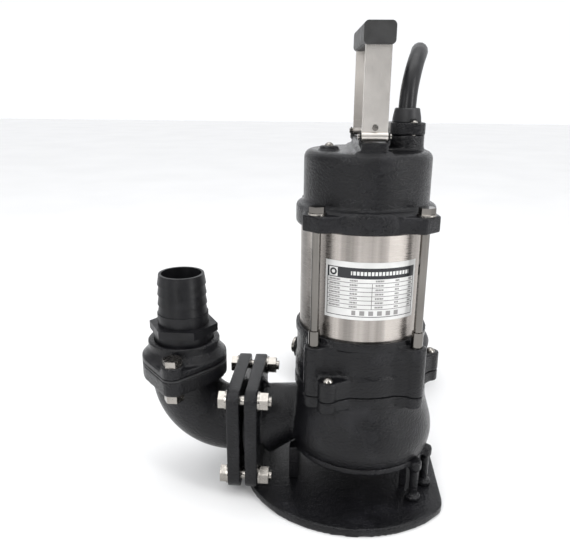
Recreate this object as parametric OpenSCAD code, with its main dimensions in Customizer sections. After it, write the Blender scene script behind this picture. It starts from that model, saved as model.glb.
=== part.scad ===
// Submersible drainage pump with a flanged side outlet, an elbow and a hose tail.
// The origin is on the motor axis, on the surface that the base plate stands on.
// The outlet points to -X, the front of the pump to -Y, and +Z is up.

/* [Base and stand] */
// Radius of the round base plate
base_r = 117; // [112:1:122]
// Thickness of the base plate
base_t = 8.5; // [6:0.5:9]
// Distance from the motor axis to the straight right edge of the base plate
base_flat_x = 88; // [84:1:92]
// Radius of the suction hole
suction_r = 24; // [18:1:28]

/* [Pump casing] */
// Height of the outlet axis above the floor
outlet_z = 65; // [62:1:68]
// Side of the square outlet flange
flange_w = 109; // [106:1:112]
// Thickness of one outlet flange plate
flange_t = 13; // [11:0.5:15]
// Spacing of the outlet flange bolts
flange_pitch = 84.8; // [80:0.4:86]
// Height of the joint between casing and oil chamber
joint_z = 126.5; // [125:0.5:128]

/* [Motor] */
// Outer radius of the motor shell
shell_r = 61.2; // [60.5:0.1:62]
// Wall of the motor shell
shell_wall = 1.6; // [1:0.2:2]
// Height of the joint between the shell's visible part and the oil chamber rim
rim_z = 182; // [181:0.5:183]
// Height of the underside of the top cover
cover_z = 283; // [282:0.5:284]
// Radius on which the four tie rods stand
rod_ring_r = 71.5; // [71:0.1:72]
// Diameter of a tie rod
rod_d = 8; // [6:0.5:8]
// Turn of the motor section on the pump casing, in degrees
motor_turn = 3; // [0:0.5:4]

/* [Rotor] */
// Diameter of the shaft in its bearings
shaft_d = 17; // [15:1:17]
// Outer radius of the rotor core
rotor_r = 30; // [28:0.5:30]
// Air gap between rotor and stator
air_gap = 0.5; // [0.4:0.1:0.8]
// Number of vanes on the impeller
vane_count = 6; // [4:1:8]

/* [Outlet elbow] */
// Distance from the motor axis to the hose tail's axis
tail_x = 182.4; // [181:0.2:184]
// Bend radius of the elbow
elbow_bend = 50; // [49:1:50]
// Outer radius of the elbow
elbow_r = 34.5; // [33:0.5:36]
// Radius of the water passage in elbow and casing neck
passage_r = 25.5; // [24:0.5:26]
// Bore radius of the hose tail
tail_bore_r = 20.5; // [20:0.25:21]

/* [Handle] */
// Width of the handle strap
strap_w = 22; // [20:1:24]
// Thickness of the handle strap
strap_t = 3; // [2.5:0.5:4]
// Distance between the outer faces of the handle's legs
strap_span = 91; // [86:1:96]
// Height of the top of the handle strap
strap_top = 455; // [450:1:458]

/* [Cable] */
// Diameter of the power cable
cable_d = 16; // [14:1:16]
// Layers in the stored coil of cable
coil_layers = 4; // [3:1:4]

/* [Hidden] */
$fn = 96;

eps = 0.01;
// Heights of the stand and the casing.
ring_z = 46;
casing_z = 53;
casing_lip_z = 115;
bowl_x = 4;
bowl_wall = 8;
chamber_roof_z = 112;
casing_mouth_r = 55;
casing_flange_r = 65.5;
casing_screw_r = 75;
CASING_SCREW_ANGLES = [-24.5, 98, 192];
POST_ANGLES = [50.6, 73.6, 132];
post_ring_r = 75.5;
post_r = 4.5;
FIN_PLACE = [46.5, -30, base_t];
// Outlet: the pump flange's front face lies at neck_x and the elbow's face further out.
neck_x = -112.5;
face_gap = 5;
gasket_t = 2;
raised_r = 40;
elbow_face_x = neck_x - face_gap;
flange_corner = 12;
neck_r = 37;
bolt_d = 10;
// Upper joint of the elbow.
upper_z = 132.7;
upper_t = 15.4;
companion_z = upper_z + gasket_t;
companion_t = 6.5;
upper_bolt_y = 50;
boss_r = 11.5;
collar_top = 157;
hex_z = 165;
hex_top = 173;
tail_top = 226;
// Motor levels.
rod_angle = 42;
ROD_ANGLES = [-rod_angle, rod_angle, 180 - rod_angle, 180 + rod_angle];
column_r = 9.5;
column_z = 176;
rod_head_z = 300;
shell_bottom = 176;
shell_top = 298;
bore_r = shell_r - shell_wall;
bearing_od = 40;
bearing_w = 12;
lower_bearing_z = 172;
upper_bearing_z = 285;
impeller_top = 106;
// Top cover.
cover_r = 59.5;
cover_band_r = 66.3;
cover_band_z = 303;
cover_top = 352;
cover_fillet = 7.5;
vent_x = -37;
vent_y = -13;
vent_rise = 4;
rib_top = 361.5;
rib_w = 23;
pin_z = 366;
pin_d = 5;
gland_x = 34;
boss_top = 366;
gland_top = 377;
gland_t = 10.5;
boot_top = 389;
// Cable route from the boot to the stored coil, then from the coil to the plug.
coil_x = 20;
coil_y = 262;
coil_mid_r = 80;
coil_floor = 1;
CABLE_ROUTE = [[33.9, 1.8, 355], [33.8, 1.8, 368], [33.7, 1.8, 381], [34, 3.1, 393.5],
    [35.3, 7, 405.5], [37.6, 13.3, 416.3], [40.4, 21.7, 425.6], [43.5, 31.8, 433], [46.4, 43.3, 438],
    [48.3, 55.5, 440.7], [49.3, 68, 441], [50.6, 82, 438.8], [51, 96, 433.6], [50.6, 109, 425.7],
    [50, 121.5, 414.5], [49.3, 131.3, 401], [49, 138, 385.5], [49, 141.5, 369], [49.3, 142, 348],
    [49.8, 142, 310], [50, 142, 270], [50, 142, 225], [50, 142, 180], [50, 142, 141.5],
    [47.5, 143.5, 119.5], [40.5, 147.8, 99.5], [28.7, 154.6, 82], [13.7, 163.5, 68.5],
    [-3.8, 173.9, 60], [-22.7, 185, 57]];
TAIL_ROUTE = [[55, 325, 57], [75.2, 308.3, 58.5], [88, 285.4, 63], [92, 258, 68.5], [84.7, 230.4, 72],
    [66.3, 206.8, 73], [39.8, 192.8, 73], [10, 190.7, 73], [-18.2, 201, 73], [-39.7, 221.7, 73],
    [-51, 249.5, 73], [-50, 279.4, 73.5], [-45, 302, 77.5], [-34.5, 317.5, 82], [-19, 327.5, 84]];
plug_x = -19;
plug_y = 327.5;
plug_z = 84;
plug_turn = 18;

// ---------- helpers ----------

// Places children on a circle, at an angle counted from the front towards +X.
module at_angle(a, r) rotate([0, 0, a]) translate([0, -r, 0]) children();

module turned() rotate([0, 0, motor_turn]) children();

module hex_prism(af, h) cylinder(d = af / cos(30), h = h, $fn = 6);

module ring(r_out, r_in, h) difference() {
    cylinder(r = r_out, h = h);
    translate([0, 0, -1]) cylinder(r = r_in, h = h + 2);
}

module rounded_square(w, d, r) union() {
    square([w - 2 * r, d], center = true);
    square([w, d - 2 * r], center = true);
    for (x = [-1, 1], y = [-1, 1])
        translate([x * (w / 2 - r), y * (d / 2 - r)]) circle(r);
}

module toroid(r, wire) rotate_extrude() translate([r, 0]) circle(wire, $fn = 32);

function arc(cx, cy, r, a0, a1, n) = [for (i = [0:n]) let (a = a0 + (a1 - a0) * i / n)
    [cx + r * cos(a), cy + r * sin(a)]];

// Swept tube: one ring of points square to the route at every point of it.
function unit(v) = v / norm(v);
function heading(p, i) = unit(p[min(i + 1, len(p) - 1)] - p[max(i - 1, 0)]);
function side_of(h) = unit(cross(h, [0.31, -0.93, 0.2]));
function tube_ring(p, i, r, sides) = let (h = heading(p, i), u = side_of(h), v = cross(h, u))
    [for (k = [0:sides - 1]) p[i] + r * (cos(360 * k / sides) * u + sin(360 * k / sides) * v)];

module tube_along(p, r, sides) {
    n = len(p);
    points = [for (i = [0:n - 1]) each tube_ring(p, i, r, sides)];
    walls = [for (i = [0:n - 2], k = [0:sides - 1]) let (m = (k + 1) % sides)
        each [[i * sides + k, (i + 1) * sides + k, (i + 1) * sides + m],
              [i * sides + k, (i + 1) * sides + m, i * sides + m]]];
    first = [[for (k = [0:sides - 1]) k]];
    last = [[for (k = [sides - 1:-1:0]) (n - 1) * sides + k]];
    polyhedron(points, concat(walls, first, last));
}

// ---------- base and stand ----------

base_cx = -4;
base_cy = 16;
base_corner = 24;

// The disc is cut straight on the right, and both corners of the cut are rounded.
module base_outline() {
    corner_x = base_flat_x - base_corner;
    reach = base_r - base_corner;
    corner_y = sqrt(pow(reach, 2) - pow(corner_x - base_cx, 2));
    tangent = [corner_x - base_cx, corner_y] * base_r / reach;
    difference() {
        intersection() {
            translate([base_cx, base_cy]) circle(base_r, $fn = 180);
            translate([-200, -200]) square([200 + base_flat_x, 400]);
        }
        for (s = [-1, 1]) difference() {
            polygon([[corner_x, base_cy + s * corner_y], [base_flat_x, base_cy + s * corner_y],
                [base_flat_x + 20, base_cy + s * (corner_y + 20)],
                [base_cx, base_cy] + 1.2 * [tangent.x, s * tangent.y],
                [base_cx, base_cy] + [tangent.x, s * tangent.y]]);
            translate([corner_x, base_cy + s * corner_y]) circle(base_corner);
        }
    }
}

web_x = -64;
web_w = 52;
WEB_SCREWS = [[web_x, -16], [web_x, 16]];

module base_screw_places() {
    for (a = [POST_ANGLES[0], POST_ANGLES[2]]) at_angle(a, post_ring_r) children();
    for (p = WEB_SCREWS) translate(p) children();
}

module base_plate() color("dimgray") difference() {
    linear_extrude(base_t) base_outline();
    base_screw_places() {
        translate([0, 0, -1]) cylinder(d = 5.5, h = base_t + 2);
        translate([0, 0, -eps]) cylinder(r1 = 5.4, r2 = 2.75, h = 2.7);
    }
}

module base_screws() color("silver") base_screw_places() {
    translate([0, 0, 0.2]) cylinder(r1 = 4.9, r2 = 2.4, h = 2.5);
    translate([0, 0, 0.2]) cylinder(d = 4.8, h = 19);
}

module suction_stand() color("#222326") difference() {
    union() {
        translate([bowl_x, 0, ring_z]) cylinder(r = 70, h = casing_z - ring_z);
        translate([bowl_x, 0, ring_z]) cylinder(r = 56.9, h = casing_z - ring_z + 3);
        for (a = POST_ANGLES) at_angle(a, post_ring_r) {
            translate([0, 0, base_t]) cylinder(r = 8, h = 5);
            translate([0, 0, base_t]) cylinder(r = post_r, h = ring_z - base_t + 1);
            translate([0, 0, ring_z - 3]) cylinder(r = 6.5, h = 9.5);
        }
        translate(FIN_PLACE) cube([7, 4, ring_z - base_t + 1]);
        translate([web_x - 5, -web_w / 2, base_t]) cube([10, web_w, ring_z - base_t]);
        translate([bowl_x, 0, ring_z - 6]) cylinder(r = suction_r + 7, h = 8);
    }
    translate([bowl_x, 0, ring_z - 7]) cylinder(r = suction_r, h = 30);
    base_screw_places() translate([0, 0, base_t - 1]) cylinder(d = 4.8, h = 13);
    stand_screw_places() {
        translate([0, 0, ring_z - 1]) cylinder(d = 6.6, h = 14);
        translate([0, 0, ring_z - 1]) cylinder(r = 5.4, h = 5);
    }
    neck_cone(1);
}

STAND_SCREW_ANGLES = [20, 105, 160, -160, -20];
module stand_screw_places() for (a = STAND_SCREW_ANGLES)
    translate([bowl_x, 0, 0]) at_angle(a, 63.5) children();

module stand_screws() color("silver") stand_screw_places() {
    translate([0, 0, ring_z + 3]) cylinder(d = 6, h = 9.5);
    difference() {
        translate([0, 0, ring_z + 0.2]) cylinder(r = 5, h = 3.8);
        translate([0, 0, ring_z - 1]) cylinder(d = 5.8, h = 3.2, $fn = 6);
    }
}

// ---------- pump casing ----------

bowl_mid_z = 70;
bowl_bulge = 9;
function bowl_r(z) = z > bowl_mid_z
    ? 65 + bowl_bulge * pow(cos(90 * (z - bowl_mid_z) / (casing_lip_z - bowl_mid_z)), 2)
    : 65 + bowl_bulge - 3.5 * pow((bowl_mid_z - z) / (bowl_mid_z - casing_z), 2);

module bowl_solid() rotate_extrude() polygon(concat(
    [[0, casing_z]],
    [for (i = [0:12]) let (z = casing_z + (casing_lip_z + 2 - casing_z) * i / 12) [bowl_r(z), z]],
    [[0, casing_lip_z + 2]]));

module bowl_hollow() rotate_extrude() polygon(concat(
    [[0, casing_z - 1], [57, casing_z - 1], [57, casing_z + 8]],
    [for (z = [66:6:96]) [min(bowl_r(z) - bowl_wall, 64), z]],
    [[54, 106], [46, chamber_roof_z], [0, chamber_roof_z]]));

module flange_plate(t) rotate([0, 90, 0]) linear_extrude(t)
    rounded_square(flange_w, flange_w, flange_corner);

module flange_bolt_places() for (y = [-1, 1], z = [-1, 1])
    translate([0, y * flange_pitch / 2, outlet_z + z * flange_pitch / 2]) rotate([0, 90, 0]) children();

module joint_outline(r) {
    circle(r);
    for (a = CASING_SCREW_ANGLES) lobe(a, casing_screw_r, 9);
    for (a = ROD_ANGLES) lobe(a + motor_turn, rod_ring_r, column_r);
}

// A lobe: a disc on the ring and a neck that widens to the body behind it.
module lobe(a, r, lobe_r) rotate(a) {
    translate([0, -r]) circle(lobe_r, $fn = 48);
    polygon([[-lobe_r, -r], [lobe_r, -r], [21, -58.5], [0, 0], [-21, -58.5]]);
}

// The neck rises from the low outlet flange to the throat of the casing.
neck_tilt = 20;
neck_len = 60;
throat_r = 22.5;
rib_x = neck_x + flange_t;
module neck_cone(more) translate([-100.5, 0, outlet_z]) rotate([0, 90 - neck_tilt, 0])
    cylinder(r1 = neck_r + 1 + more, r2 = throat_r + more, h = neck_len);

module pump_casing() color("#1d1e21") difference() {
    union() {
        translate([bowl_x, 0, 0]) bowl_solid();
        translate([0, 0, casing_lip_z]) linear_extrude(joint_z - casing_lip_z) joint_outline(casing_flange_r);
        neck_cone(0);
        translate([neck_x, 0, outlet_z]) flange_plate(flange_t);
        translate([neck_x - 1.5, 0, outlet_z]) rotate([0, 90, 0]) cylinder(r = raised_r, h = 3);
        translate([0, 4, 0]) rotate([90, 0, 0]) linear_extrude(8) polygon([[neck_x + 2, outlet_z],
            [neck_x + 2, outlet_z + 50], [rib_x + 2, outlet_z + 46], [rib_x + 10, outlet_z + 36],
            [rib_x + 10, outlet_z]]);
    }
    translate([bowl_x, 0, 0]) bowl_hollow();
    translate([neck_x - 5, 0, outlet_z]) rotate([0, 90, 0]) cylinder(r = passage_r, h = 19);
    translate([-103, 0, outlet_z - 1]) rotate([0, 90 - neck_tilt, 0])
        cylinder(r1 = passage_r - 0.5, r2 = throat_r - 2.5, h = 50);
    translate([0, 0, chamber_roof_z - 1]) cylinder(r = casing_mouth_r, h = 30);
    translate([neck_x - 1, 0, 0]) flange_bolt_places() cylinder(d = bolt_d + 1, h = flange_t + 30);
    translate([neck_x + flange_t, 0, 0]) flange_bolt_places() cylinder(r = 12, h = 12);
    for (a = CASING_SCREW_ANGLES) at_angle(a, casing_screw_r)
        translate([0, 0, joint_z - 10]) cylinder(d = 6, h = 20);
    translate([0, 0, joint_z - 3]) cylinder(r = casing_mouth_r + 2.2, h = 5);
    for (a = STAND_SCREW_ANGLES) translate([bowl_x, 0, 0]) at_angle(a, 63.5)
        translate([0, 0, casing_z - 1]) cylinder(d = 6, h = 7);
}

module casing_o_ring() color("#101010") translate([0, 0, joint_z - 1.5]) toroid(casing_mouth_r + 1.02, 1.2);

// ---------- impeller, shaft and seals ----------

impeller_r = 44;
module impeller() color("#3a3b3d") difference() {
    union() {
        translate([0, 0, impeller_top - 5]) cylinder(r = impeller_r, h = 5);
        translate([0, 0, impeller_top - 22]) cylinder(r = 15, h = 24);
        for (i = [0:vane_count - 1]) rotate([0, 0, i * 360 / vane_count]) intersection() {
            translate([0, 0, impeller_top - 20]) cylinder(r = impeller_r - 1, h = 16);
            translate([30, -8, impeller_top - 20]) difference() {
                cylinder(r = 28, h = 16);
                translate([0, 0, -1]) cylinder(r = 24, h = 18);
                translate([-60, -60, -1]) cube([120, 60, 18]);
            }
        }
    }
    translate([0, 0, impeller_top - 30]) cylinder(d = 14.05, h = 60);
    translate([-2.5, 0, impeller_top - 30]) cube([5, 9.4, 60]);
}

module impeller_nut() color("#b9bcc0") translate([0, 0, impeller_top - 35]) difference() {
    union() {
        cylinder(r = 9, h = 3);
        translate([0, 0, 3]) hex_prism(19, 9.6);
    }
    translate([0, 0, 4]) cylinder(d = 10, h = 20);
}

module impeller_key() color("#8d8f92") translate([-2.4, 4.4, impeller_top - 20]) cube([4.8, 4.8, 18]);

module drive_shaft() color("#c9ccd0") difference() {
    union() {
        translate([0, 0, impeller_top - 31]) cylinder(d = 9.9, h = 10);
        translate([0, 0, impeller_top - 22]) cylinder(d = 14, h = 26);
        translate([0, 0, impeller_top + 2]) cylinder(d = 16, h = lower_bearing_z - impeller_top - 2);
        translate([0, 0, joint_z + 27]) cylinder(r = 12.6, h = 3);
        translate([0, 0, lower_bearing_z - 1]) cylinder(d = shaft_d, h = bearing_w + 1);
        translate([0, 0, lower_bearing_z + bearing_w]) cylinder(d = 22, h = upper_bearing_z - lower_bearing_z - bearing_w);
        translate([0, 0, upper_bearing_z - 1]) cylinder(d = shaft_d, h = bearing_w + 3);
    }
    translate([-2.5, 4.4, impeller_top - 23]) cube([5, 6, 22]);
}

ear_h = 19.5;
plug_boss_z = joint_z + 13.8;
plug_turn_back = -22;
module oil_chamber() color("#1d1e21") difference() {
    union() {
        translate([0, 0, joint_z]) linear_extrude(ear_h) joint_outline(casing_flange_r - 0.5);
        translate([0, 0, joint_z + ear_h]) linear_extrude(column_z - joint_z - ear_h) union() {
            circle(63.5);
            for (a = ROD_ANGLES) lobe(a + motor_turn, rod_ring_r, column_r);
        }
        translate([0, 0, column_z - 2]) cylinder(r = 65, h = rim_z - column_z + 2);
        translate([0, 0, joint_z - 8]) cylinder(r = casing_mouth_r - 0.15, h = 10);
        translate([0, 0, plug_boss_z]) rotate([0, -90, plug_turn_back]) cylinder(r = 13, h = 69);
    }
    translate([0, 0, joint_z - 9]) cylinder(r = 12, h = 80);
    translate([0, 0, joint_z - 9]) cylinder(r = 46, h = 5);
    translate([0, 0, joint_z + 4]) rotate_extrude() polygon([[0, 0], [46, 0], [54, 8], [54, 26], [46, 33], [0, 33]]);
    translate([0, 0, joint_z + 36]) cylinder(r = 16.2, h = 8.8);
    translate([0, 0, lower_bearing_z]) cylinder(d = bearing_od + 0.02, h = 40);
    translate([0, 0, shell_bottom]) ring(shell_r + 0.3, bore_r - 0.3, 40);
    translate([0, 0, shell_bottom + 2.2]) ring(shell_r + 1.6, shell_r - 1, 2.6);
    for (a = CASING_SCREW_ANGLES) at_angle(a, casing_screw_r)
        translate([0, 0, joint_z - 1]) cylinder(d = 6.6, h = ear_h + 2);
    turned() for (a = ROD_ANGLES) at_angle(a, rod_ring_r)
        translate([0, 0, column_z - 22]) cylinder(d = rod_d - 1, h = 40);
    translate([0, 0, plug_boss_z]) rotate([0, -90, plug_turn_back]) cylinder(d = 12, h = 80);
}

module oil_plug() color("#b9bcc0") translate([0, 0, plug_boss_z]) rotate([0, -90, plug_turn_back]) {
    translate([0, 0, 58]) cylinder(d = 11.9, h = 11);
    difference() {
        translate([0, 0, 69]) cylinder(r = 8.5, h = 4);
        translate([0, 0, 70.5]) cylinder(d = 7, h = 5, $fn = 6);
    }
}

module casing_screws() color("silver") for (a = CASING_SCREW_ANGLES) at_angle(a, casing_screw_r) {
    translate([0, 0, joint_z - 9]) cylinder(d = 5.9, h = ear_h + 10);
    translate([0, 0, joint_z + ear_h]) rotate_extrude() polygon(concat([[0, 0], [5.2, 0]],
        arc(0, -1.9, 5.54, 20, 90, 6)));
}

module seal_seat() color("#5a5c60") translate([0, 0, joint_z - 2]) ring(12, 8.6, 7);
module seal_head() color("#a6a9ad") translate([0, 0, joint_z + 5.1]) ring(13, 8, 8);

spring_turns = 4;
spring_h = 13.9;
module seal_spring() color("#c9ccd0") translate([0, 0, joint_z + 13.1]) {
    n = spring_turns * 16;
    rings = [for (i = [0:n]) let (a = 22.5 * i, z = 0.9 + (spring_h - 1.8) * min(max(i - 8, 0), n - 16) / (n - 16))
        [for (k = [0:5]) let (w = 10.4 + 0.9 * cos(60 * k)) [w * cos(a), w * sin(a), z + 0.9 * sin(60 * k)]]];
    polyhedron([for (p = rings) each p], concat(
        [for (i = [0:n - 1], k = [0:5]) let (m = (k + 1) % 6)
            each [[i * 6 + k, i * 6 + m, (i + 1) * 6 + m], [i * 6 + k, (i + 1) * 6 + m, (i + 1) * 6 + k]]],
        [[for (k = [5:-1:0]) k]], [[for (k = [0:5]) n * 6 + k]]));
}
module lip_seal() color("#141414") translate([0, 0, joint_z + 36]) difference() {
    cylinder(r = 16.2, h = 8.4);
    translate([0, 0, -1]) cylinder(r = 8.3, h = 12);
    translate([0, 0, -1]) ring(13.5, 10, 6);
}

// ---------- bearings ----------

module bearing_ring(z, r_out, r_in, groove) translate([0, 0, z]) difference() {
    ring(r_out, r_in, bearing_w);
    translate([0, 0, bearing_w / 2]) toroid(14.25, groove);
}

ball_r = 3.65;
groove_r = 3.7;
module lower_bearing_outer() color("#b0b3b7") bearing_ring(lower_bearing_z, bearing_od / 2, 16.6, groove_r);
module lower_bearing_inner() color("#b0b3b7") bearing_ring(lower_bearing_z, 11.9, shaft_d / 2, groove_r);
module upper_bearing_outer() color("#b0b3b7") bearing_ring(upper_bearing_z, bearing_od / 2, 16.6, groove_r);
module upper_bearing_inner() color("#b0b3b7") bearing_ring(upper_bearing_z, 11.9, shaft_d / 2, groove_r);
module bearing_balls() color("#d5d7da") for (z = [lower_bearing_z, upper_bearing_z], i = [0:7])
    rotate([0, 0, i * 45]) translate([14.25, 0, z + bearing_w / 2]) sphere(ball_r, $fn = 48);
module wave_washer() color("#8d8f92") translate([0, 0, upper_bearing_z + bearing_w]) ring(19.6, 15, 1.4);

module bearing_bracket() color("#77797c") difference() {
    union() {
        translate([0, 0, upper_bearing_z - 1]) cylinder(r = bore_r, h = 6);
        translate([0, 0, upper_bearing_z - 1]) cylinder(r = 26, h = 19);
    }
    translate([0, 0, upper_bearing_z - 4]) cylinder(r = 10, h = 40);
    translate([0, 0, upper_bearing_z - 4]) cylinder(d = bearing_od + 0.02, h = bearing_w + 5.4);
    for (i = [0:5]) rotate([0, 0, 60 * i]) translate([41, 0, upper_bearing_z - 4]) cylinder(r = 8, h = 20);
}

// ---------- motor ----------

module motor_shell() color("#b3b1ac") translate([0, 0, shell_bottom]) ring(shell_r, bore_r, shell_top - shell_bottom);

module shell_o_rings() color("#101010") {
    translate([0, 0, shell_bottom + 3.5]) toroid(shell_r + 0.8, 0.85);
    translate([0, 0, cover_z + 4.5]) toroid(shell_r + 0.8, 0.85);
}

stack_z = 204;
stack_h = 56;
module stator_core() color("#6d6f73") translate([0, 0, stack_z]) difference() {
    cylinder(r = bore_r, h = stack_h);
    translate([0, 0, -1]) cylinder(r = rotor_r + air_gap, h = stack_h + 2);
    for (i = [0:23]) rotate([0, 0, 15 * i]) {
        translate([32.5, -1.8, -1]) cube([12, 3.6, stack_h + 2]);
    }
}

module stator_windings() color("#b06a35") {
    for (z = [stack_z - 12, stack_z + stack_h]) translate([0, 0, z]) rotate_extrude()
        translate([44, 6]) rounded_square(18, 12, 4);
    for (i = [0:23]) rotate([0, 0, 15 * i])
        translate([36, -1.7, stack_z - 2]) cube([8.4, 3.4, stack_h + 4]);
}

module rotor_core() color("#808286") translate([0, 0, stack_z]) ring(rotor_r, 11, stack_h);
module rotor_end_rings() color("#c4c7ca") for (z = [stack_z - 8, stack_z + stack_h])
    translate([0, 0, z]) ring(rotor_r - 1.5, 16, 8);

label_z0 = 204.5;
label_z1 = 258.8;
label_from = -38.7;
label_span = 82.3;
module name_label() color("gainsboro") turned() rotate([0, 0, label_from - 90])
    translate([0, 0, label_z0]) rotate_extrude(angle = label_span)
    translate([shell_r, 0]) square([0.4, label_z1 - label_z0]);

// ---------- top cover ----------

ear_w = 19;
module top_cover() color("#1d1e21") difference() {
    union() {
        rotate_extrude() polygon(concat([[0, cover_z]],
            arc(cover_band_r - 3, cover_z + 3, 3, -90, 0, 5),
            arc(cover_band_r - 4, cover_band_z - 4, 4, 0, 70, 5), [[cover_r, cover_band_z + 1]],
            arc(cover_r - cover_fillet, cover_top - cover_fillet, cover_fillet, 0, 90, 9), [[0, cover_top]]));
        turned() {
            for (a = ROD_ANGLES) rotate(a) translate([0, 0, cover_z + 2])
                linear_extrude(rod_head_z - cover_z - 2) polygon([[-ear_w / 2, -rod_ring_r - 8.5],
                    [ear_w / 2, -rod_ring_r - 8.5], [25, -61], [0, -50], [-25, -61]]);
            cover_rib();
            translate([gland_x, 0, cover_top - 20]) cylinder(r = 17, h = boss_top - cover_top + 20);
            translate([vent_x, vent_y, cover_top - 5]) cylinder(r = 8.6, h = vent_rise + 5);
        }
    }
    translate([0, 0, cover_z - 1]) cylinder(r = shell_r + 0.15, h = shell_top - cover_z + 1);
    translate([0, 0, cover_z + 3]) ring(shell_r + 1.6, 50, 3);
    rotate_extrude() polygon(concat([[0, cover_z], [53, cover_z]],
        arc(53 - 10, cover_top - 8 - 10, 10, 0, 90, 6), [[0, cover_top - 8]]));
    turned() {
        for (a = ROD_ANGLES) at_angle(a, rod_ring_r) translate([0, 0, cover_z - 1])
            cylinder(d = rod_d + 1, h = 40);
        for (a = ROD_ANGLES) at_angle(a, rod_ring_r) translate([0, 0, rod_head_z]) cylinder(r = 8.6, h = 12);
        translate([gland_x, 0, cover_top - 30]) cylinder(r = cable_d / 2 + 0.6, h = 60);
        translate([gland_x, 0, boss_top - 12]) cylinder(r = 12, h = 30);
        for (y = [-1, 1]) translate([-20, y * (strap_span / 2 - 1.5), pin_z]) rotate([0, 90, 0])
            cylinder(d = pin_d, h = 40);
        for (y = [-1, 1]) translate([-strap_w / 2 - 0.4, y * (strap_span / 2 - 1.5) - 6.2, rib_top])
            cube([strap_w + 0.8, 12.4, 20]);
        translate([vent_x, vent_y, cover_top - 12]) cylinder(d = 6, h = 20);
        gland_screw_places() translate([0, 0, boss_top - 9]) cylinder(d = 3.6, h = 20);
    }
}

// The rib carries the handle's pins between two pairs of small ears.
module cover_rib() {
    translate([-rib_w / 2, -strap_span / 2 - 8, cover_top - 22])
        cube([rib_w, strap_span + 16, rib_top - cover_top + 22]);
    translate([-rib_w / 2 - 4, -strap_span / 2 - 5, cover_top - 20])
        cube([rib_w + 8, strap_span + 10, 22]);
    for (x = [-1, 1], y = [-1, 1]) translate([x * (strap_w / 2 + 1.4) - 1, y * (strap_span / 2 - 1.5), 0]) {
        translate([0, 0, pin_z]) rotate([0, 90, 0]) cylinder(r = 3.7, h = 2);
        translate([0, -3.7, rib_top - 3]) cube([2, 7.4, pin_z - rib_top + 3]);
    }
}

module tie_rods() color("#c2c4c7") turned() for (a = ROD_ANGLES) at_angle(a, rod_ring_r) {
    translate([0, 0, column_z - 20]) cylinder(d = rod_d - 1.05, h = 21);
    translate([0, 0, column_z]) cylinder(d = rod_d, h = rod_head_z - column_z + 2);
    translate([0, 0, rod_head_z + 1.6]) hex_prism(13, 5.6);
}
module tie_rod_washers() color("#c2c4c7") turned() for (a = ROD_ANGLES) at_angle(a, rod_ring_r)
    translate([0, 0, rod_head_z]) ring(8, rod_d / 2, 1.6);
module tie_rod_sleeves() color("#b5b7ba") turned() for (a = ROD_ANGLES) at_angle(a, rod_ring_r)
    translate([0, 0, column_z]) ring(5.4, rod_d / 2, 15);

module capacitor() color("#d8d4c6") translate([-4, 8, upper_bearing_z + 18]) {
    cylinder(r = 14, h = 32);
    cylinder(r = 11, h = 35);
}

module vent_plug() color("#8f9296") turned() translate([vent_x, vent_y, 0]) {
    translate([0, 0, cover_top - 11]) cylinder(d = 5.9, h = vent_rise + 12);
    translate([0, 0, cover_top + vent_rise]) rotate_extrude() polygon(concat([[0, 0], [4.2, 0]],
        arc(0, -1.6, 4.5, 21, 90, 6)));
}

// ---------- handle ----------

leg_y = strap_span / 2;
bend_r = 13;
grip_z = 439.5;
grip_h = 18.5;
module strap_side() difference() {
    union() {
        translate([-leg_y, pin_z]) square([2 * leg_y, strap_top - bend_r - pin_z]);
        translate([-leg_y + bend_r, pin_z]) square([2 * (leg_y - bend_r), strap_top - pin_z]);
        for (s = [-1, 1]) translate([s * (leg_y - bend_r), strap_top - bend_r]) circle(bend_r);
    }
    translate([-leg_y + strap_t, 0]) square([2 * (leg_y - strap_t), strap_top - bend_r]);
    translate([-leg_y + bend_r, 0]) square([2 * (leg_y - bend_r), strap_top - strap_t]);
    for (s = [-1, 1]) translate([s * (leg_y - bend_r), strap_top - bend_r]) circle(bend_r - strap_t);
    for (s = [-1, 1]) translate([s * (leg_y - 1.5), pin_z]) circle(3.4);
}

// Strap bent from flat bar: each leg ends in an eye round its pin and a short folded tongue.
module handle_strap() color("#c8c9cb") turned() translate([-strap_w / 2, 0, 0]) rotate([90, 0, 90])
    linear_extrude(strap_w) {
        strap_side();
        for (s = [-1, 1]) {
            translate([s * (leg_y - 1.5), pin_z]) difference() {
                circle(4.1, $fn = 48);
                circle(pin_d / 2 + 0.05, $fn = 48);
            }
            translate([s * (leg_y - strap_t - 0.75) - 0.75, pin_z + 2.6]) square([1.5, 7.5]);
        }
    }

module handle_grip() color("#17181a") turned() difference() {
    translate([0, 0, grip_z]) rotate([90, 0, 0])
        translate([0, 0, -leg_y - 3.5]) linear_extrude(2 * leg_y + 7)
        translate([0, grip_h / 2]) rounded_square(26.5, grip_h, 4);
    for (y = [-32:8:32]) translate([-20, y - 1.5, grip_z - 1]) cube([40, 3, 2.5]);
    translate([-strap_w / 2, 0, 0]) rotate([90, 0, 90]) linear_extrude(strap_w) difference() {
        union() {
            translate([-leg_y, pin_z]) square([2 * leg_y, strap_top - bend_r - pin_z]);
            translate([-leg_y + bend_r, pin_z]) square([2 * (leg_y - bend_r), strap_top - pin_z]);
            for (s = [-1, 1]) translate([s * (leg_y - bend_r), strap_top - bend_r]) circle(bend_r);
        }
        translate([-leg_y + strap_t, 0]) square([2 * (leg_y - strap_t), strap_top - bend_r]);
        translate([-leg_y + bend_r, 0]) square([2 * (leg_y - bend_r), strap_top - strap_t]);
        for (s = [-1, 1]) translate([s * (leg_y - bend_r), strap_top - bend_r]) circle(bend_r - strap_t);
    }
}

module handle_pins() color("#c8c9cb") turned() for (y = [-1, 1])
    translate([-strap_w / 2 - 3.4, y * (leg_y - 1.5), pin_z]) rotate([0, 90, 0])
    cylinder(d = pin_d - 0.05, h = strap_w + 6.8);

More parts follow.
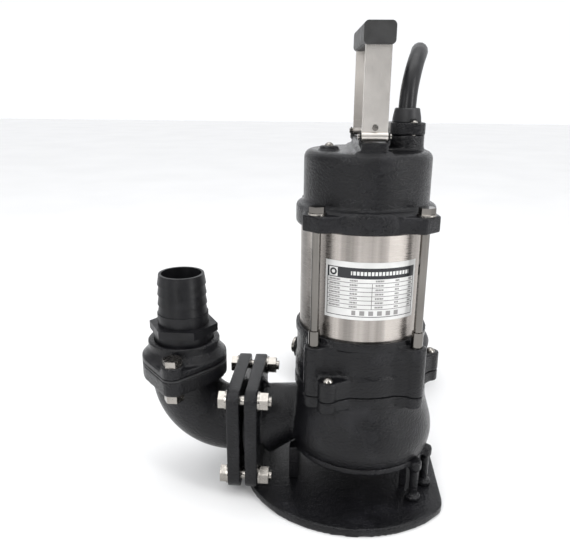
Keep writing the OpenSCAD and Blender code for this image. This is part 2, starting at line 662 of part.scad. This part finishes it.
module handle_rivets() color("#8f9296") turned() for (s = [-1, 1]) translate([0, s * leg_y, pin_z + 7.6])
    rotate([s * 90, 0, 0]) translate([0, 0, -1.2]) rotate_extrude()
    polygon([[0, 0], [2.6, 0], [2.6, 0.4], [1.6, 1.2], [0, 1.2]]);

// ---------- cable entry ----------

module gland_screw_places() for (s = [-1, 1])
    translate([gland_x - 4.5 * s, 14 * s, 0]) children();

module cable_seal() color("#131313") turned() translate([gland_x, 0, boss_top - 12]) difference() {
    cylinder(r = 12, h = 12);
    translate([0, 0, -1]) cylinder(r = cable_d / 2, h = 14);
}
module gland_plate() color("#1b1c1e") turned() difference() {
    union() {
        translate([gland_x, 0, boss_top]) linear_extrude(gland_t) rounded_square(32, 34, 9);
        translate([gland_x, 0, boss_top]) cylinder(r = 12.8, h = gland_top - boss_top);
    }
    translate([gland_x, 0, boss_top - 1]) cylinder(r = cable_d / 2 + 0.1, h = 30);
    gland_screw_places() {
        translate([0, 0, boss_top - 1]) cylinder(d = 4.4, h = 20);
        translate([0, 0, boss_top + gland_t]) cylinder(r = 3.8, h = 10);
    }
}
module gland_screws() color("silver") turned() gland_screw_places() {
    translate([0, 0, boss_top - 8]) cylinder(d = 3.5, h = gland_t + 9);
    translate([0, 0, boss_top + gland_t]) rotate_extrude() polygon(concat([[0, 0], [3.4, 0]],
        arc(0, -1.4, 3.68, 22, 90, 6)));
}
module cable_boot() color("#161718") turned() difference() {
    translate([gland_x, 0, gland_top]) rotate_extrude() polygon([[0, 0], [13.2, 0], [12.8, 4],
        [11.4, boot_top - gland_top - 0.8], [10.6, boot_top - gland_top], [0, boot_top - gland_top]]);
    translate([gland_x, 0, gland_top - 1]) cylinder(r = cable_d / 2, h = boot_top - gland_top + 2);
    gland_screw_places() translate([0, 0, gland_top - 1]) cylinder(r = 3.75, h = 3.6);
}

module cable_lead() color("#141414") tube_along(CABLE_ROUTE, cable_d / 2, 10);
module cable_coil() color("#141414") translate([coil_x, coil_y, coil_floor]) rotate_extrude()
    translate([coil_mid_r - cable_d, 0]) square([2 * cable_d, coil_layers * cable_d]);
// The tie goes round the stack of turns and the last turn, which lies on top of the inner ones.
module tie_outline(w, h, more) polygon([[-w, -more], [w, -more], [w, h], [1 + more, h + cable_d],
    [-w, h + cable_d]]);
module coil_tie() color("#2c2d2f") translate([coil_x, coil_y, coil_floor]) rotate([0, 0, -60])
    translate([coil_mid_r, 0, 0]) rotate([90, 0, 0]) translate([0, 0, -2.5]) linear_extrude(5) difference() {
        tie_outline(cable_d + 1, coil_layers * cable_d + 1, 1);
        tie_outline(cable_d, coil_layers * cable_d, 0);
    }
module cable_tail() color("#141414") tube_along(TAIL_ROUTE, cable_d / 2, 10);

module power_plug() color("#17181a") translate([plug_x, plug_y, plug_z]) rotate([0, 90, plug_turn]) difference() {
    rotate_extrude() polygon([[0, 2], [9.6, 2], [10.5, 8], [13.5, 22], [17, 28], [19, 34], [19, 52],
        [18.2, 55], [0, 55]]);
    translate([0, 0, 1]) cylinder(r = cable_d / 2, h = 1.6);
}
module plug_pins() color("#c9ccd0") translate([plug_x, plug_y, plug_z]) rotate([0, 90, plug_turn])
    for (y = [-9.5, 9.5]) translate([0, y, 55]) {
        cylinder(d = 4.8, h = 17.5);
        translate([0, 0, 17.5]) cylinder(r1 = 2.4, r2 = 1.2, h = 1.5);
    }

// ---------- outlet ----------

module flange_gasket() color("#202020") translate([neck_x - 1.5 - gasket_t, 0, outlet_z]) rotate([0, 90, 0])
    ring(raised_r, passage_r, gasket_t);

module upper_outline() {
    // Pointed oval: straight sides that touch the middle disc and both bolt bosses.
    reach = asin((44 - boss_r) / upper_bolt_y);
    circle(44);
    for (s = [-1, 1]) translate([0, s * upper_bolt_y]) circle(boss_r);
    for (s = [-1, 1]) polygon([
        44 * [cos(reach), s * sin(reach)],
        [boss_r * cos(reach), s * (upper_bolt_y + boss_r * sin(reach))],
        [-boss_r * cos(reach), s * (upper_bolt_y + boss_r * sin(reach))],
        44 * [-cos(reach), s * sin(reach)], [0, 0]]);
}

module discharge_elbow() color("#1d1e21") difference() {
    union() {
        translate([elbow_face_x - flange_t, 0, outlet_z]) flange_plate(flange_t);
        translate([elbow_face_x - 1, 0, outlet_z]) rotate([0, 90, 0]) cylinder(r = raised_r, h = 2.5);
        translate([-tail_x + elbow_bend, 0, outlet_z]) rotate([0, 90, 0])
            cylinder(r = elbow_r, h = tail_x - elbow_bend + elbow_face_x - 1);
        translate([-tail_x + elbow_bend, 0, outlet_z + elbow_bend]) rotate([-90, 0, 180])
            rotate_extrude(angle = 90, $fn = 64) translate([elbow_bend, 0]) circle(elbow_r, $fn = 64);
        translate([-tail_x, 0, outlet_z + elbow_bend]) cylinder(r = elbow_r, h = 8);
        translate([-tail_x, 0, upper_z - upper_t]) linear_extrude(upper_t) upper_outline();
    }
    translate([-tail_x + elbow_bend, 0, outlet_z]) rotate([0, 90, 0]) cylinder(r = passage_r, h = 40);
    translate([-tail_x + elbow_bend, 0, outlet_z + elbow_bend]) rotate([-90, 0, 180])
        rotate_extrude(angle = 90, $fn = 64) translate([elbow_bend, 0]) circle(passage_r, $fn = 64);
    translate([-tail_x, 0, outlet_z + elbow_bend]) cylinder(r = passage_r, h = 30);
    translate([elbow_face_x - 35, 0, 0]) flange_bolt_places() cylinder(d = bolt_d + 1, h = 40);
    translate([elbow_face_x - flange_t - 22, 0, 0]) flange_bolt_places() cylinder(r = 12, h = 22);
    for (s = [-1, 1]) translate([-tail_x, s * upper_bolt_y, 100]) cylinder(d = 9, h = 40);
}

module elbow_gasket() color("#202020") translate([-tail_x, 0, upper_z]) difference() {
    union() {
        linear_extrude(gasket_t) upper_outline();
        cylinder(r = 43.9, h = gasket_t);
    }
    translate([0, 0, -1]) cylinder(r = passage_r, h = 5);
    for (s = [-1, 1]) translate([0, s * upper_bolt_y, -1]) cylinder(d = 9, h = 5);
}

module companion_flange() color("#1d1e21") translate([-tail_x, 0, 0]) difference() {
    union() {
        translate([0, 0, companion_z]) linear_extrude(companion_t) upper_outline();
        translate([0, 0, companion_z + companion_t - 1]) cylinder(r1 = 43.6, r2 = 37, h = 8);
        translate([0, 0, companion_z]) cylinder(r = 37, h = collar_top - companion_z);
        for (s = [-1, 1]) translate([0, s * upper_bolt_y, companion_z]) cylinder(r = boss_r, h = 12.3);
    }
    translate([0, 0, companion_z - 1]) cylinder(r = passage_r, h = 40);
    translate([0, 0, companion_z + 4]) cylinder(r = 30.05, h = 40);
    for (s = [-1, 1]) translate([0, s * upper_bolt_y, companion_z - 1]) cylinder(d = 9, h = 30);
    for (s = [-1, 1]) translate([0, s * upper_bolt_y, companion_z + 12.3]) cylinder(r = 12.5, h = 30);
}

barb_z = 184;
barb_h = (tail_top - barb_z) / 4;
module hose_tail() color("#17181a") translate([-tail_x, 0, 0]) difference() {
    union() {
        translate([0, 0, companion_z + 4.2]) cylinder(r = 30, h = hex_z - companion_z - 3);
        translate([0, 0, hex_z]) hex_prism(62.4, hex_top - hex_z);
        translate([0, 0, hex_top - 1]) cylinder(r = 26.2, h = barb_z - hex_top + 2);
        for (k = [0:3]) translate([0, 0, barb_z + k * barb_h])
            cylinder(r1 = 25.6 - 0.25 * k, r2 = 23.9 - 0.25 * k, h = barb_h);
    }
    translate([0, 0, companion_z]) cylinder(r = tail_bore_r, h = tail_top - companion_z + 1);
}

// ---------- outlet bolts ----------

module flange_bolts() color("#c2c4c7") translate([elbow_face_x - flange_t, 0, 0]) flange_bolt_places() {
    translate([0, 0, -2]) ring(9.8, bolt_d / 2, 2);
    translate([0, 0, -8.4]) hex_prism(16.6, 6.4);
    translate([0, 0, -3]) cylinder(d = bolt_d, h = 47.5);
}
module flange_nuts() color("#c2c4c7") translate([neck_x + flange_t, 0, 0]) flange_bolt_places() {
    ring(9.8, bolt_d / 2, 2);
    translate([0, 0, 2]) difference() {
        hex_prism(16.6, 8.4);
        translate([0, 0, -1]) cylinder(d = bolt_d, h = 12);
    }
}
module companion_bolts() color("#c2c4c7") for (s = [-1, 1])
    translate([-tail_x, s * upper_bolt_y, companion_z + 12.3]) {
        hex_prism(17, 6.5);
        translate([0, 0, -39.4]) cylinder(d = 8, h = 40);
    }
module companion_nuts() color("#c2c4c7") for (s = [-1, 1])
    translate([-tail_x, s * upper_bolt_y, upper_z - upper_t - 8]) difference() {
        hex_prism(17, 8);
        translate([0, 0, -1]) cylinder(d = 8, h = 10);
    }

base_plate();
base_screws();
suction_stand();
stand_screws();
pump_casing();
casing_o_ring();
impeller();
impeller_nut();
impeller_key();
drive_shaft();
oil_chamber();
oil_plug();
casing_screws();
seal_seat();
seal_head();
seal_spring();
lip_seal();
lower_bearing_outer();
lower_bearing_inner();
upper_bearing_outer();
upper_bearing_inner();
bearing_balls();
wave_washer();
bearing_bracket();
motor_shell();
shell_o_rings();
stator_core();
stator_windings();
rotor_core();
rotor_end_rings();
name_label();
top_cover();
tie_rods();
tie_rod_washers();
tie_rod_sleeves();
capacitor();
vent_plug();
handle_strap();
handle_grip();
handle_pins();
handle_rivets();
cable_seal();
gland_plate();
gland_screws();
cable_boot();
cable_lead();
cable_coil();
coil_tie();
cable_tail();
power_plug();
plug_pins();
flange_gasket();
discharge_elbow();
elbow_gasket();
companion_flange();
hose_tail();
flange_bolts();
flange_nuts();
companion_bolts();
companion_nuts();
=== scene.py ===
"""The looks of the submersible pump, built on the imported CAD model, in metres."""
import functools
import math

import bpy
from mathutils import Matrix, Vector


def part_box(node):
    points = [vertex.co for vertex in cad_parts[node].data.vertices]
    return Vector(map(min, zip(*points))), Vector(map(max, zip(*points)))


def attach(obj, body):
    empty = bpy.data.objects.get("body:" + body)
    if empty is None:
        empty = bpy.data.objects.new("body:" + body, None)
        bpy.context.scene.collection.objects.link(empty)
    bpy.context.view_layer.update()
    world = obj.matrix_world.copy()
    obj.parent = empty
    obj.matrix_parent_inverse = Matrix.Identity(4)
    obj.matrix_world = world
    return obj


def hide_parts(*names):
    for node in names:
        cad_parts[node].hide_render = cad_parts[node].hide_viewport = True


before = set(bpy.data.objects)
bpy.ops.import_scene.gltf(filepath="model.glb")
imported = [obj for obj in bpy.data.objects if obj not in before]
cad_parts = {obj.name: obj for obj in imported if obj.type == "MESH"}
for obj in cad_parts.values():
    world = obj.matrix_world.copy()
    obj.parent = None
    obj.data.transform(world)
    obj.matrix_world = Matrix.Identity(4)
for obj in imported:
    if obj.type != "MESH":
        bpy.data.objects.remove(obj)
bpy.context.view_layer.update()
MM = 0.001


# ---------- camera ----------

def make_camera():
    """The camera looks slightly to the left and down at the front of the pump."""
    place = Vector((-33.98, -576.79, 402.67)) * MM
    yaw, pitch, roll = -0.0740, 0.3026, 0.0075
    ahead = Vector((math.sin(yaw) * math.cos(pitch), math.cos(yaw) * math.cos(pitch), -math.sin(pitch)))
    level = Vector((math.cos(yaw), -math.sin(yaw), 0))
    over = level.cross(ahead)
    right = level * math.cos(roll) + over * math.sin(roll)
    up = over * math.cos(roll) - level * math.sin(roll)
    data = bpy.data.cameras.new("camera")
    data.sensor_width = 36
    data.lens = 38.1
    data.clip_start = 0.02
    camera = bpy.data.objects.new("camera", data)
    bpy.context.scene.collection.objects.link(camera)
    turn = Matrix((right, up, -ahead)).transposed()
    camera.matrix_world = Matrix.Translation(place) @ turn.to_4x4()
    bpy.context.scene.camera = camera


make_camera()


# ---------- materials ----------

class Shader:
    """A principled material with short calls for its node tree."""

    def __init__(self, name, colour, roughness, metallic=0.0, **sockets):
        self.material = bpy.data.materials.new(name)
        self.material.use_nodes = True
        self.nodes = self.material.node_tree.nodes
        self.links = self.material.node_tree.links
        self.bsdf = self.nodes["Principled BSDF"]
        self.bsdf.inputs["Base Color"].default_value = (*colour, 1)
        self.bsdf.inputs["Roughness"].default_value = roughness
        self.bsdf.inputs["Metallic"].default_value = metallic
        for socket, value in sockets.items():
            self.bsdf.inputs[socket.replace("_", " ")].default_value = value
        self.coords = self.nodes.new("ShaderNodeTexCoord")

    def node(self, kind, **settings):
        made = self.nodes.new("ShaderNode" + kind)
        for key, value in settings.items():
            setattr(made, key, value)
        return made

    def link(self, source, target):
        self.links.new(source, target)

    def noise(self, scale, detail, stretch=(1, 1, 1)):
        mapping = self.node("Mapping")
        mapping.inputs["Scale"].default_value = stretch
        self.link(self.coords.outputs["Object"], mapping.inputs["Vector"])
        noise = self.node("TexNoise")
        noise.inputs["Scale"].default_value = scale
        noise.inputs["Detail"].default_value = detail
        self.link(mapping.outputs["Vector"], noise.inputs["Vector"])
        return noise.outputs["Fac"]

    def spread(self, value, low, high, source=(0.35, 0.65)):
        """Maps the middle range of a noise, where nearly all of it lies, onto low to high."""
        made = self.node("MapRange")
        made.inputs["From Min"].default_value = source[0]
        made.inputs["From Max"].default_value = source[1]
        made.inputs["To Min"].default_value = low
        made.inputs["To Max"].default_value = high
        self.link(value, made.inputs["Value"])
        return made.outputs["Result"]

    def mix(self, value, first, second):
        """A colour between two plain ones, by a value from 0 to 1."""
        made = self.node("Mix", data_type="RGBA")
        made.inputs["A"].default_value = (*first, 1)
        made.inputs["B"].default_value = (*second, 1)
        self.link(value, made.inputs["Factor"])
        return made.outputs["Result"]

    def math(self, operation, first, second=0.0):
        made = self.node("Math", operation=operation)
        for place, value in enumerate((first, second)):
            if isinstance(value, (int, float)):
                made.inputs[place].default_value = value
            else:
                self.link(value, made.inputs[place])
        return made.outputs["Value"]

    def shade(self, value, colour, low, high, source=(0.35, 0.65)):
        """Varies the base colour between low and high times its brightness."""
        darker, lighter = (tuple(c * factor for c in colour) for factor in (low, high))
        self.colour(self.mix(self.spread(value, 0, 1, source), darker, lighter))

    def colour(self, value):
        self.link(value, self.bsdf.inputs["Base Color"])

    def roughness(self, value):
        self.link(value, self.bsdf.inputs["Roughness"])

    def bump(self, height, distance, strength=1.0, before=None):
        made = self.node("Bump")
        made.inputs["Strength"].default_value = strength
        made.inputs["Distance"].default_value = distance
        self.link(height, made.inputs["Height"])
        if before is not None:
            self.link(before, made.inputs["Normal"])
        self.link(made.outputs["Normal"], self.bsdf.inputs["Normal"])
        return made.outputs["Normal"]


PAINT = (0.005, 0.005, 0.006)
DUST = (0.012, 0.012, 0.014)
SHELL_STEEL = (0.43, 0.398, 0.37)
ZINC = (0.33, 0.312, 0.288)


def painted_casting(name):
    """Thick black gloss paint over a sand casting: fine orange peel on slow waves, with a little dust."""
    s = Shader(name, PAINT, 0.3, Specular_IOR_Level=0.25)
    s.colour(s.mix(s.spread(s.noise(38, 6), 0.0, 1.0, (0.5, 0.72)), PAINT, DUST))
    s.roughness(s.spread(s.noise(120, 4), 0.17, 0.27))
    waves = s.bump(s.noise(60, 3), 0.0006, 0.3)
    s.bump(s.noise(520, 4), 0.0009, 1.0, waves)
    return s.material


def brushed_steel(name, colour, rough, stretch, depth=0.00004):
    """Brushed stainless steel: fine scratches along one direction and soft cloudy stains."""
    s = Shader(name, colour, 0.27, 1.0)
    scratches = s.noise(480, 5, stretch)
    clouds = s.noise(22, 4)
    s.shade(clouds, colour, 0.9, 1.12)
    wear = s.math("ADD", s.math("MULTIPLY", scratches, 0.7), s.math("MULTIPLY", clouds, 0.3))
    s.roughness(s.spread(wear, *rough))
    s.bump(scratches, depth, 0.5)
    return s.material


def rolled_steel(name):
    """The motor shell: polished round and round, so that its highlights stretch along the axis, with
    vertical bands of painted reflection in its colour.
    """
    s = Shader(name, SHELL_STEEL, 0.3, 1.0, Anisotropic=0.8)
    tangent = s.node("Tangent", direction_type="RADIAL", axis="Z")
    s.link(tangent.outputs["Tangent"], s.bsdf.inputs["Tangent"])
    scratches = s.noise(26, 5, (1, 1, 90))
    # Painted reflection: light and dark vertical bands in the shell's colour, unchanged up the axis, stand
    # in for the bands that the surroundings reflect.
    s.shade(s.noise(48, 3, (1, 1, 0.01)), SHELL_STEEL, 0.5, 1.15, (0.38, 0.62))
    s.roughness(s.spread(scratches, 0.24, 0.34))
    s.bump(scratches, 0.00001, 0.1)
    return s.material


def plated_steel(name):
    """Bright zinc plating on turned and forged steel."""
    s = Shader(name, ZINC, 0.25, 1.0)
    s.shade(s.noise(90, 4), ZINC, 0.88, 1.08)
    s.roughness(s.spread(s.noise(300, 3), 0.16, 0.32))
    s.bump(s.noise(900, 3), 0.00006, 0.5)
    return s.material


def moulded(name, colour, rough, pore=900, depth=0.00008, lift=1.6, specular=0.28):
    """Moulded rubber or plastic with a fine pored skin and faint flow marks."""
    s = Shader(name, colour, 0.42, Specular_IOR_Level=specular)
    s.shade(s.noise(60, 5), colour, 1, lift)
    s.roughness(s.spread(s.noise(140, 4), *rough))
    s.bump(s.noise(pore, 3), depth, 0.6)
    return s.material


def machined(name, colour, rough=(0.3, 0.5), metallic=1.0):
    """A bare machined or cast metal with tool marks."""
    s = Shader(name, colour, 0.4, metallic)
    s.shade(s.noise(90, 4), colour, 0.75, 1.1)
    s.roughness(s.spread(s.noise(220, 4), *rough))
    s.bump(s.noise(240, 4, (1, 1, 8)), 0.00008, 0.6)
    return s.material


FINISHES = {
    "casting": painted_casting("casting_paint"),
    "shell": rolled_steel("shell_steel"),
    "strap": brushed_steel("strap_steel", (0.74, 0.705, 0.665), (0.30, 0.42), (6, 6, 1)),
    # Painted shade: the rods' steel is a far darker copy of the strap's brushed steel, so that the rods
    # look as shaded as they do among the castings.
    "rod": brushed_steel("shaded_rod_steel", (0.16, 0.151, 0.14), (0.07, 0.14), (4, 4, 1), 0.00001),
    "plated": plated_steel("plated_steel"),
    "rubber": moulded("rubber", (0.017, 0.017, 0.018), (0.42, 0.58), specular=0.35),
    "plastic": moulded("plastic", (0.006, 0.006, 0.007), (0.32, 0.44), 700, 0.00012, specular=0.25),
    "grip": moulded("grip_plastic", (0.022, 0.022, 0.022), (0.42, 0.55), 500, 0.0002, specular=0.45),
    "cable": moulded("cable_sheath", (0.010, 0.010, 0.011), (0.3, 0.44), 500, 0.00006),
    "core": machined("core_steel", (0.35, 0.35, 0.36)),
    "copper": machined("winding_varnish", (0.42, 0.17, 0.06), (0.25, 0.4), 0.6),
    "aluminium": machined("cast_aluminium", (0.62, 0.62, 0.63)),
    "pale": moulded("pale_plastic", (0.62, 0.60, 0.53), (0.4, 0.55), 600, 0.0001, 1.1),
    "carbon": machined("carbon", (0.05, 0.05, 0.052), (0.3, 0.4), 0.2),
}

FINISH_OF = {
    "casting": "base_plate suction_stand pump_casing oil_chamber top_cover gland_plate discharge_elbow"
               " companion_flange impeller",
    "shell": "motor_shell",
    "strap": "handle_strap",
    "rod": "tie_rods tie_rod_sleeves",
    "plated": "base_screws stand_screws impeller_nut impeller_key drive_shaft oil_plug casing_screws"
              " seal_head seal_spring lower_bearing_outer lower_bearing_inner upper_bearing_outer"
              " upper_bearing_inner bearing_balls wave_washer tie_rod_washers vent_plug handle_pins"
              " handle_rivets gland_screws plug_pins flange_bolts flange_nuts companion_bolts"
              " companion_nuts",
    "rubber": "casing_o_ring lip_seal shell_o_rings cable_seal cable_boot flange_gasket elbow_gasket",
    "plastic": "hose_tail power_plug coil_tie",
    "grip": "handle_grip",
    "cable": "cable_lead cable_coil cable_tail",
    "core": "stator_core rotor_core",
    "copper": "stator_windings",
    "aluminium": "bearing_bracket rotor_end_rings",
    "label": "name_label",
    "pale": "capacitor",
    "carbon": "seal_seat",
}


LABEL_LEFT = math.radians(35.7)  # the label's left edge, round the shell from the front
LABEL_SPAN = math.radians(82.3)
LABEL_RATIO = 87.9 / 54.3  # its width over its height
MARK_X, MARK_Y = 0.092, 0.812
ROWS_FROM, ROWS_TO, ROW_COUNT = 0.19, 0.72, 13.2
INK = (0.012, 0.013, 0.016, 1)
GREY_INK = (0.11, 0.10, 0.10, 1)


def label_print():
    """The name label: a black header with a plain mark, ruled rows, and bars where words would be.

    Places on the label are shares of its width, from the left, and of its height, from below.
    """
    s = Shader("label_print", (0.8, 0.8, 0.79), 0.35, 0.1)
    low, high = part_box("name_label")
    split = s.node("SeparateXYZ")
    s.link(s.coords.outputs["Object"], split.inputs["Vector"])
    x, y, z = (split.outputs[axis] for axis in "XYZ")
    turn = s.math("ARCTAN2", x, s.math("MULTIPLY", y, -1))
    across = s.math("DIVIDE", s.math("ADD", turn, LABEL_LEFT), LABEL_SPAN)
    up = s.math("DIVIDE", s.math("SUBTRACT", z, low[2]), high[2] - low[2])

    def within(value, first, last):
        return s.math("MULTIPLY", s.math("GREATER_THAN", value, first), s.math("LESS_THAN", value, last))

    def area(left, right, bottom, top):
        return s.math("MULTIPLY", within(across, left, right), within(up, bottom, top))

    def every(value, count, first, last):
        return within(s.math("FRACT", s.math("MULTIPLY", value, count)), first, last)

    def both(*masks):
        return functools.reduce(lambda total, mask: s.math("MULTIPLY", total, mask), masks)

    def either(*masks):
        return functools.reduce(lambda total, mask: s.math("MAXIMUM", total, mask), masks)

    def without(mask, hole):
        return s.math("MULTIPLY", mask, s.math("SUBTRACT", 1, hole))

    def printed(paper, mask, ink):
        made = s.node("Mix", data_type="RGBA")
        s.link(mask, made.inputs["Factor"])
        s.link(paper, made.inputs["A"])
        made.inputs["B"].default_value = ink
        return made.outputs["Result"]

    sideways = s.math("MULTIPLY", s.math("POWER", s.math("SUBTRACT", across, MARK_X), 2), LABEL_RATIO ** 2)
    upwards = s.math("POWER", s.math("SUBTRACT", up, MARK_Y), 2)
    ring = within(s.math("SQRT", s.math("ADD", sideways, upwards)), 0.03, 0.062)
    mark_box = area(0.045, 0.139, 0.735, 0.889)
    border = without(area(0.024, 0.976, 0.055, 0.905), area(0.031, 0.969, 0.067, 0.893))
    header = without(area(0.024, 0.976, 0.72, 0.905), mark_box)
    title = both(area(0.28, 0.9, 0.78, 0.845), every(across, 27, 0.18, 0.9))
    table = area(0.031, 0.969, ROWS_FROM, ROWS_TO)
    row = s.math("SUBTRACT", up, ROWS_FROM)
    rules = both(table, every(row, ROW_COUNT, 0.0, 0.13))
    middle = area(0.497, 0.503, ROWS_FROM, 0.64)
    columns = either(within(across, 0.045, 0.17), within(across, 0.27, 0.35), within(across, 0.53, 0.62),
                     within(across, 0.74, 0.79), within(across, 0.91, 0.95))
    words = both(table, columns, every(across, 62, 0.2, 0.95), every(row, ROW_COUNT, 0.35, 0.75))
    signs = both(area(0.3, 0.82, 0.085, 0.165), every(across, 11, 0.2, 0.75))
    ink = either(without(header, title), border, both(ring, mark_box))
    grey = either(rules, middle, s.math("MULTIPLY", words, 0.9), s.math("MULTIPLY", signs, 0.75))
    paper = s.mix(s.spread(s.noise(70, 4), 0, 1), (0.60, 0.60, 0.59), (0.68, 0.68, 0.67))
    s.colour(printed(printed(paper, grey, GREY_INK), ink, INK))
    s.roughness(s.spread(s.noise(200, 3), 0.3, 0.45))
    return s.material


FINISHES["label"] = label_print()


def finish_node(node, finish):
    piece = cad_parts[node]
    piece.data.materials.clear()
    piece.data.materials.append(FINISHES[finish])


for finish, names in FINISH_OF.items():
    for name in names.split():
        finish_node(name, finish)


# ---------- the power cable ----------

CABLE_D = 16 * MM
COIL_X, COIL_Y, COIL_BASE = 20, 262, 9  # in mm, as in the CAD
INNER_R, OUTER_R, LAYER = 72, 88, 16
LANDING = -119  # the angle at which the cable comes down on the coil
LAYERS = 3  # steps from the floor to the top layer
TURN, RAMP = 360, 60  # degrees in a turn, and degrees in which the cable moves to the next layer
DOWN, UP = 1380, 1320  # degrees of the outer and of the inner turns
CABLE_ROUTE = [
    (33.9, 1.8, 355), (33.8, 1.8, 368), (33.7, 1.8, 381), (34, 3.1, 393.5), (35.3, 7, 405.5),
    (37.6, 13.3, 416.3), (40.4, 21.7, 425.6), (43.5, 31.8, 433), (46.4, 43.3, 438), (48.3, 55.5, 440.7),
    (49.3, 68, 441), (50.6, 82, 438.8), (51, 96, 433.6), (50.6, 109, 425.7), (50, 121.5, 414.5),
    (49.3, 131.3, 401), (49, 138, 385.5), (49, 141.5, 369), (49.3, 142, 348), (49.8, 142, 310),
    (50, 142, 270), (50, 142, 225), (50, 142, 180), (50, 142, 141.5), (47.5, 143.5, 119.5),
    (40.5, 147.8, 99.5), (28.7, 154.6, 82), (13.7, 163.5, 68.5), (-3.8, 173.9, 60), (-22.7, 185, 57),
]
TAIL_ROUTE = [
    (55, 325, 57), (75.2, 308.3, 58.5), (88, 285.4, 63), (92, 258, 68.5), (84.7, 230.4, 72),
    (66.3, 206.8, 73), (39.8, 192.8, 73), (10, 190.7, 73), (-18.2, 201, 73), (-39.7, 221.7, 73),
    (-51, 249.5, 73), (-50, 279.4, 73.5), (-45, 302, 77.5), (-34.5, 317.5, 82), (-19, 327.5, 84),
]


def ease(t):
    """A smooth step from 0 to 1."""
    t = min(max(t, 0), 1)
    return t * t * (3 - 2 * t)


def coil_points(step=15):
    """Down the outer turns, inwards on the floor, and up the inner turns, layer on layer."""
    points = []
    for turned in range(step, DOWN + 1, step):
        layer, along = divmod(turned, TURN)
        ramp = ease((along - TURN + RAMP) / RAMP) if layer < LAYERS else 0
        inward = ease((turned - DOWN + RAMP) / RAMP)
        height = COIL_BASE + LAYER * max(LAYERS - layer - ramp, 0)
        points.append((LANDING - turned, OUTER_R + (INNER_R - OUTER_R) * inward, height))
    for turned in range(step, UP, step):
        layer, along = divmod(turned + RAMP, TURN)
        ramp = ease((along - TURN + RAMP) / RAMP)
        points.append((LANDING - DOWN - turned, INNER_R, COIL_BASE + LAYER * min(layer + ramp, LAYERS)))
    return [(COIL_X + r * math.cos(math.radians(a)), COIL_Y + r * math.sin(math.radians(a)), z)
            for a, r, z in points]


def make_cable():
    route = CABLE_ROUTE + coil_points() + TAIL_ROUTE
    curve = bpy.data.curves.new("power_cable", "CURVE")
    curve.dimensions = "3D"
    curve.bevel_depth = CABLE_D / 2
    curve.bevel_resolution = 5
    curve.resolution_u = 6
    spline = curve.splines.new("BEZIER")
    spline.bezier_points.add(len(route) - 1)
    for knot, place in zip(spline.bezier_points, route):
        knot.co = Vector(place) * MM
        knot.handle_left_type = knot.handle_right_type = "AUTO"
    cable = bpy.data.objects.new("power_cable", curve)
    bpy.context.scene.collection.objects.link(cable)
    curve.materials.append(FINISHES["cable"])
    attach(cable, "pump")
    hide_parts("cable_lead", "cable_coil", "cable_tail")


make_cable()


# ---------- rounded castings ----------

# The remesh's voxel size of each casting, in mm.
CASTINGS = {"pump_casing": 1.5, "oil_chamber": 1.4, "top_cover": 1.3, "discharge_elbow": 1.4,
            "companion_flange": 1.2, "suction_stand": 1.3, "gland_plate": 0.7, "base_plate": 1.6}


def soften(node, voxel):
    """Rounds every edge and corner as a sand casting's are, by a remesh and a short smoothing."""
    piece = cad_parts[node]
    weld = piece.modifiers.new("weld", "WELD")
    weld.merge_threshold = 0.00001
    remesh = piece.modifiers.new("remesh", "REMESH")
    remesh.mode = "VOXEL"
    remesh.voxel_size = voxel * MM
    remesh.use_smooth_shade = True
    smooth = piece.modifiers.new("smooth", "SMOOTH")
    smooth.factor = 0.5
    smooth.iterations = 3


for node, voxel in CASTINGS.items():
    soften(node, voxel)


# ---------- floor and light ----------

def make_floor():
    bpy.ops.mesh.primitive_plane_add(size=12, location=(0, 2, 0))
    floor = bpy.context.object
    floor.name = "floor"
    s = Shader("floor_paper", (0.86, 0.86, 0.86), 0.7)
    s.colour(s.mix(s.spread(s.noise(3, 3), 0, 1), (0.84, 0.84, 0.84), (0.87, 0.87, 0.87)))
    floor.data.materials.append(s.material)


def area_light(name, place, aim, size, power):
    data = bpy.data.lights.new(name, "AREA")
    data.shape = "RECTANGLE"
    data.size, data.size_y = size
    data.energy = power
    light = bpy.data.objects.new(name, data)
    bpy.context.scene.collection.objects.link(light)
    place, aim = Vector(place), Vector(aim)
    turn = (place - aim).to_track_quat("Z", "Y").to_matrix()
    light.matrix_world = Matrix.Translation(place) @ turn.to_4x4()


def make_sky():
    """A white studio, dimmer on the camera's side and at the left, so that black paint stays black."""
    world = bpy.data.worlds.new("studio")
    world.use_nodes = True
    nodes, links = world.node_tree.nodes, world.node_tree.links
    coords = nodes.new("ShaderNodeTexCoord")
    split = nodes.new("ShaderNodeSeparateXYZ")
    links.new(coords.outputs["Generated"], split.inputs["Vector"])

    def ramp(axis, first, last, low, high, smooth):
        made = nodes.new("ShaderNodeMapRange")
        made.interpolation_type = smooth
        values = {"From Min": first, "From Max": last, "To Min": low, "To Max": high}
        for socket, value in values.items():
            made.inputs[socket].default_value = value
        links.new(split.outputs[axis], made.inputs["Value"])
        return made.outputs["Result"]

    strength = nodes.new("ShaderNodeMath")
    strength.operation = "MULTIPLY"
    links.new(ramp("Y", -0.95, 0.1, 0.16, 1.04, "SMOOTHSTEP"), strength.inputs[0])
    links.new(ramp("X", -0.95, -0.6, 0.3, 1, "LINEAR"), strength.inputs[1])
    links.new(strength.outputs["Value"], nodes["Background"].inputs["Strength"])
    nodes["Background"].inputs["Color"].default_value = (0.97, 0.98, 1.0, 1)
    bpy.context.scene.world = world


def make_lights():
    middle = (0, 0, 0.25)
    area_light("key", (-0.55, -1.45, 1.0), middle, (0.3, 1.3), 12)
    area_light("fill", (1.25, -0.75, 0.8), middle, (0.3, 1.4), 12)
    area_light("left", (-1.36, -0.63, 0.8), middle, (0.12, 1.4), 4)
    area_light("top", (0, 0.1, 1.8), middle, (1.4, 0.8), 5)
    data = bpy.data.lights.new("overhead", "SUN")
    data.energy = 0.9
    data.angle = math.radians(70)
    sun = bpy.data.objects.new("overhead", data)
    bpy.context.scene.collection.objects.link(sun)
    make_sky()
    bpy.context.scene.view_settings.view_transform = "Standard"


make_floor()
make_lights()
